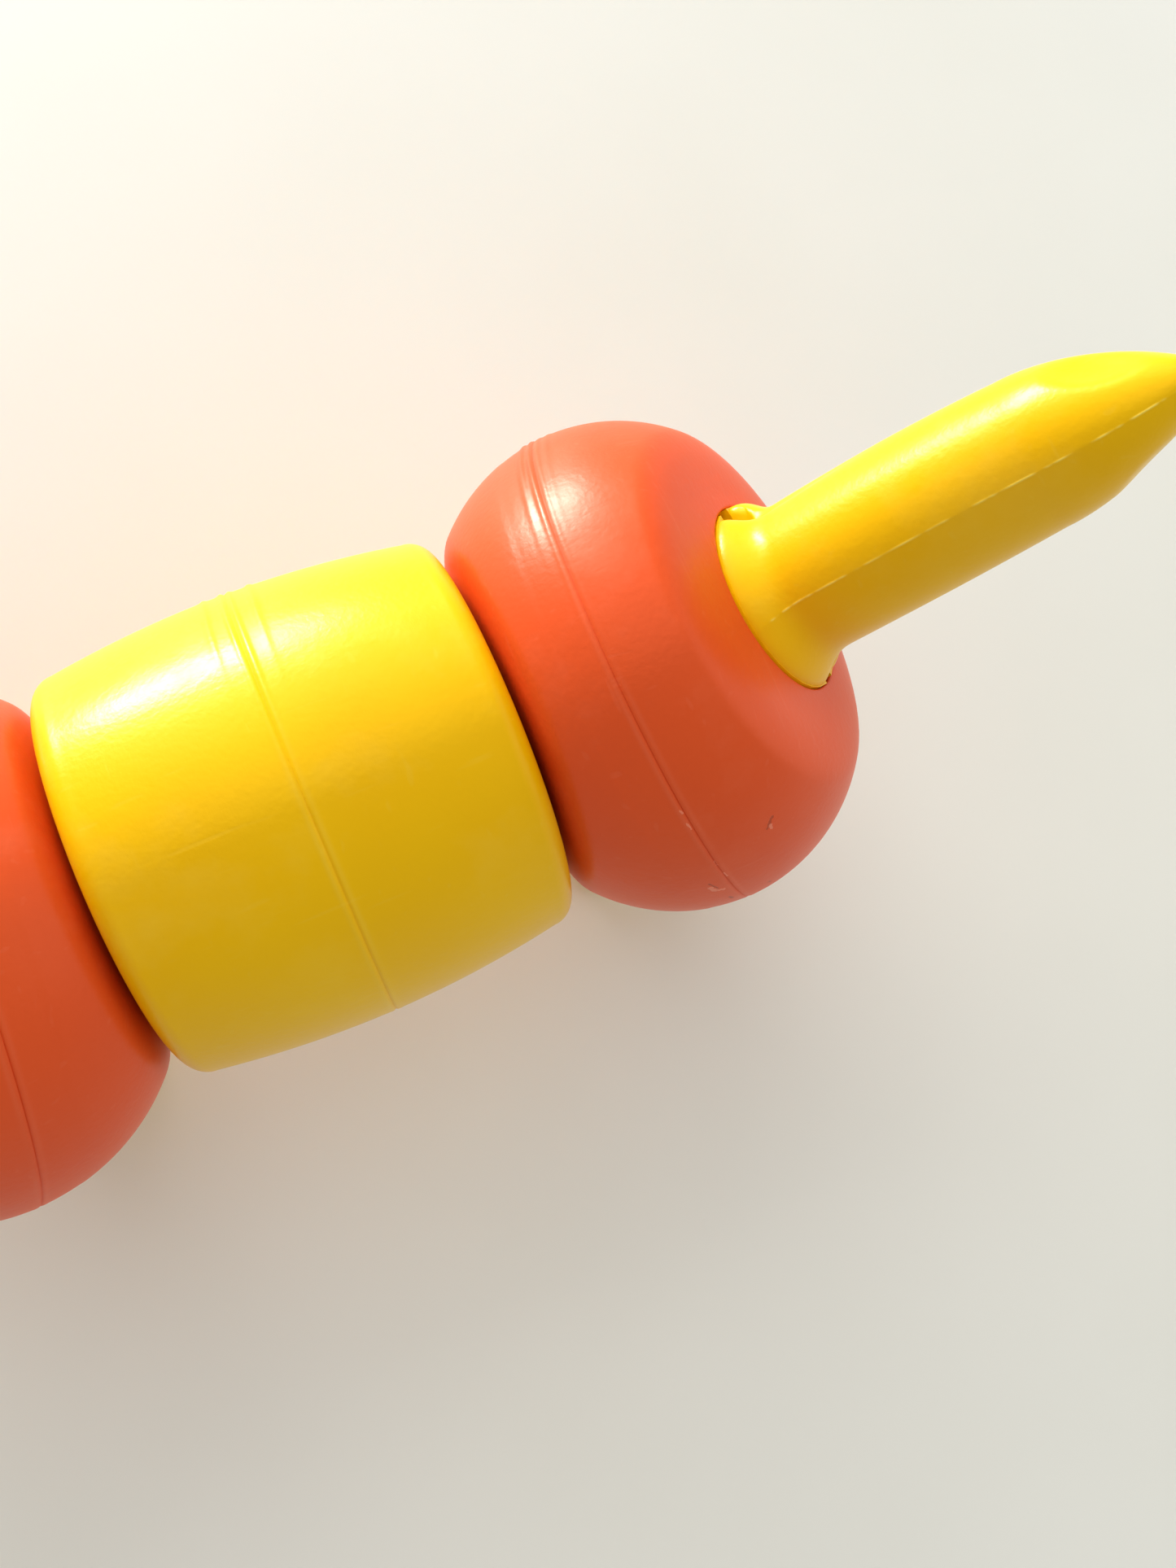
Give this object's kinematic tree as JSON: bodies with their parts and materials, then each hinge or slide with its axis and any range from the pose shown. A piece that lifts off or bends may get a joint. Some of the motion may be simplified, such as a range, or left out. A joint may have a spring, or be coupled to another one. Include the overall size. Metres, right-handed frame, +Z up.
{
  "type": "snap-together toy dog",
  "caption": "Hollow moulded toy dog whose round beads, barrel body, head, ears, tail and legs snap together at split plugs and turn in their ports.",
  "frame": {"origin": "on the ground under the middle of the dog's whole length, width and stance", "axes": "+Z up, the dog faces -X with its tail towards +X, and its left side is -Y"},
  "size_m": [0.2466, 0.0794, 0.1217],
  "materials": {
    "yellow_plastic": "satin polyethylene",
    "orange_plastic": "satin polyethylene",
    "black_plastic": "glossy"
  },
  "bodies": {
    "barrel": {"barrel_front_shell": "yellow_plastic", "barrel_back_shell": "yellow_plastic"},
    "chest": {"chest_front_shell": "orange_plastic", "chest_back_shell": "orange_plastic"},
    "rump": {"rump_front_shell": "orange_plastic", "rump_back_shell": "orange_plastic"},
    "tail": {"tail": "yellow_plastic"},
    "head": {"head_front_shell": "yellow_plastic", "head_back_shell": "yellow_plastic", "nose": "black_plastic", "left_eye": "black_plastic", "right_eye": "black_plastic"},
    "left_ear": {"left_ear": "orange_plastic"},
    "right_ear": {"right_ear": "orange_plastic"},
    "front_left_leg": {"front_left_leg": "yellow_plastic"},
    "front_right_leg": {"front_right_leg": "yellow_plastic"},
    "rear_left_leg": {"rear_left_leg": "yellow_plastic"},
    "rear_right_leg": {"rear_right_leg": "yellow_plastic"}
  },
  "joints": [
    {"name": "chest_swivel", "type": "hinge", "parent": "barrel", "child": "chest", "pos_m": [-0.01295, 0, 0.06], "axis": [1, 0, 0], "continuous": true},
    {"name": "rump_swivel", "type": "hinge", "parent": "barrel", "child": "rump", "pos_m": [0.04405, 0, 0.06], "axis": [1, 0, 0], "continuous": true},
    {"name": "tail_swivel", "type": "hinge", "parent": "rump", "child": "tail", "pos_m": [0.08253, 0, 0.07431], "axis": [0.757, 0, 0.6534], "continuous": true},
    {"name": "head_swivel", "type": "hinge", "parent": "chest", "child": "head", "pos_m": [-0.05143, 0, 0.07431], "axis": [-0.757, 0, 0.6534], "continuous": true},
    {"name": "left_ear_swivel", "type": "hinge", "parent": "head", "child": "left_ear", "pos_m": [-0.0609, -0.02687, 0.09802], "axis": [0.3331, -0.9064, 0.2599], "range_deg": [-180, 6]},
    {"name": "right_ear_swivel", "type": "hinge", "parent": "head", "child": "right_ear", "pos_m": [-0.0609, 0.02687, 0.09802], "axis": [0.3331, 0.9064, 0.2599], "range_deg": [-6, 180]},
    {"name": "front_left_leg_swivel", "type": "hinge", "parent": "chest", "child": "front_left_leg", "pos_m": [-0.03335, -0.015, 0.0245], "axis": [0, 0, 1], "continuous": true},
    {"name": "front_right_leg_swivel", "type": "hinge", "parent": "chest", "child": "front_right_leg", "pos_m": [-0.03335, 0.015, 0.0245], "axis": [0, 0, 1], "continuous": true},
    {"name": "rear_left_leg_swivel", "type": "hinge", "parent": "rump", "child": "rear_left_leg", "pos_m": [0.06445, -0.015, 0.0245], "axis": [0, 0, 1], "continuous": true},
    {"name": "rear_right_leg_swivel", "type": "hinge", "parent": "rump", "child": "rear_right_leg", "pos_m": [0.06445, 0.015, 0.0245], "axis": [0, 0, 1], "continuous": true}
  ]
}
